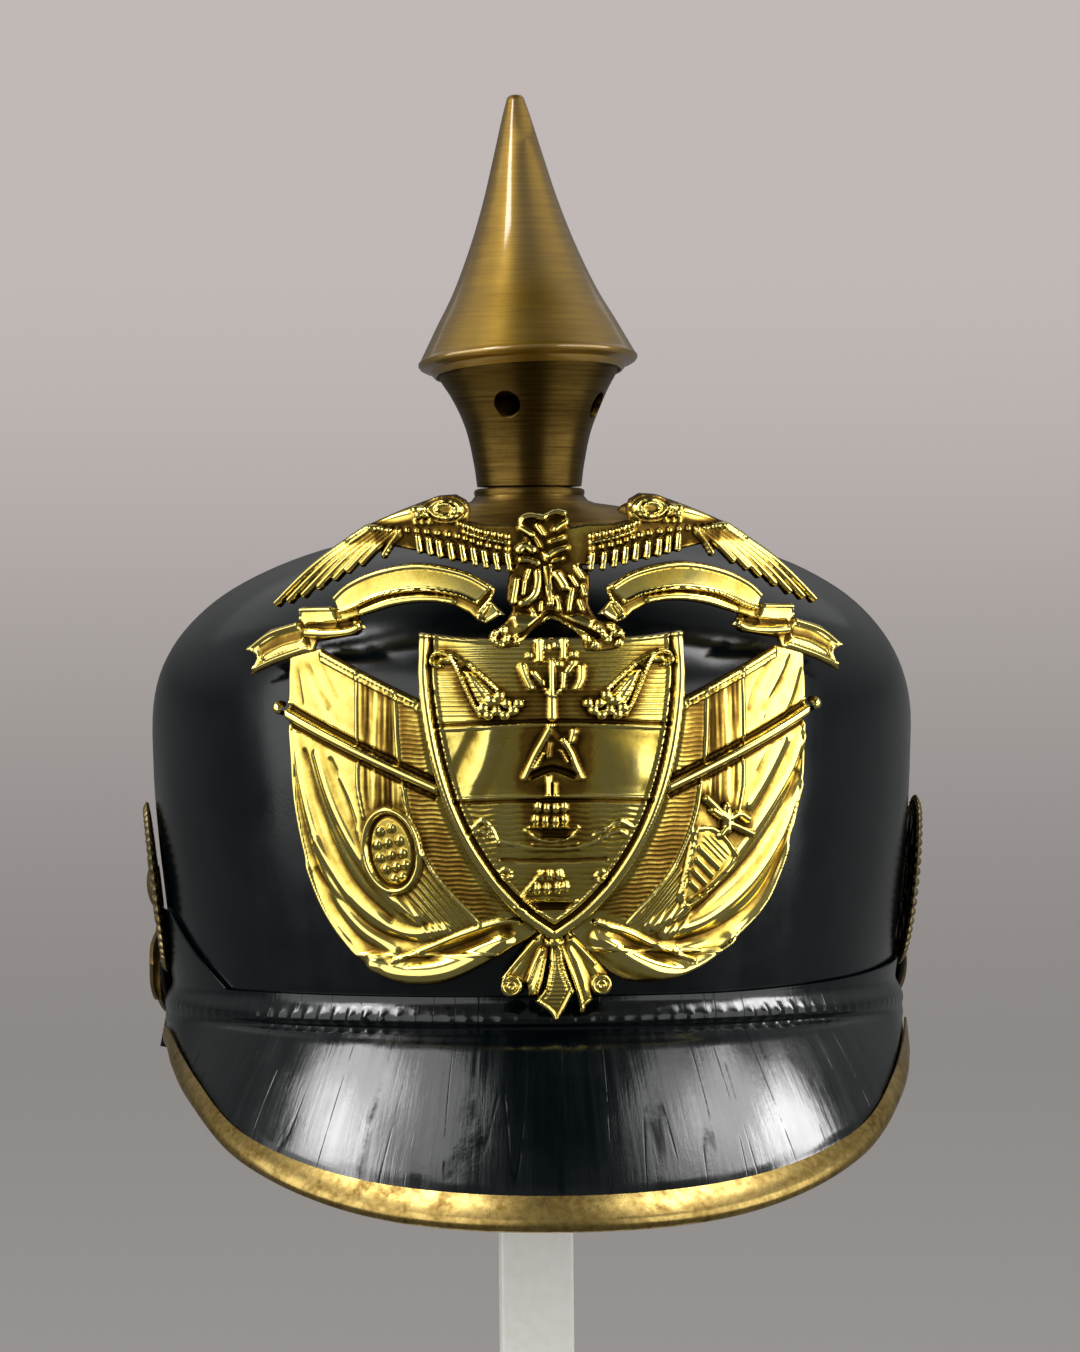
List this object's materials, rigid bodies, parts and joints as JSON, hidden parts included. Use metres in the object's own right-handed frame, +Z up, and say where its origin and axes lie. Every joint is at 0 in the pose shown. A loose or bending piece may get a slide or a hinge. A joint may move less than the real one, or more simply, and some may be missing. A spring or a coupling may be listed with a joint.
{
  "type": "pickelhaube on a display stand",
  "caption": "Black leather helmet with front and rear peaks, brass spike on a vented neck, stamped relief front plate, side rosettes and scaled chin strap, on a plain clear post stand.",
  "frame": {"origin": "centre of the stand's underside, on the table", "axes": "+Z up, along the post and the spike; the front plate faces -Y; +X is the viewer's right"},
  "size_m": [0.1888, 0.2799, 0.3742],
  "materials": {
    "black_leather": "lacquered, polished",
    "strap_leather": "matte",
    "trim_brass": "aged, spotted",
    "aged_brass": "aged, brushed",
    "plate_brass": "stamped, polished",
    "frosted_acrylic": "satin"
  },
  "bodies": {
    "root": {"skull": "black_leather", "front_peak": "black_leather", "rear_peak": "black_leather", "front_peak_trim": "trim_brass", "spike": "aged_brass", "spike_neck": "aged_brass", "spike_base": "aged_brass", "front_plate": "plate_brass", "rear_spine": "aged_brass", "chin_clasp": "aged_brass", "rosette_left": "aged_brass", "rosette_right": "aged_brass", "chin_strap_left": "strap_leather", "chin_strap_right": "strap_leather", "chin_scales_left": "aged_brass", "chin_scales_right": "aged_brass", "stand_foot": "frosted_acrylic", "stand_post": "frosted_acrylic", "stand_pad": "frosted_acrylic"}
  },
  "joints": []
}
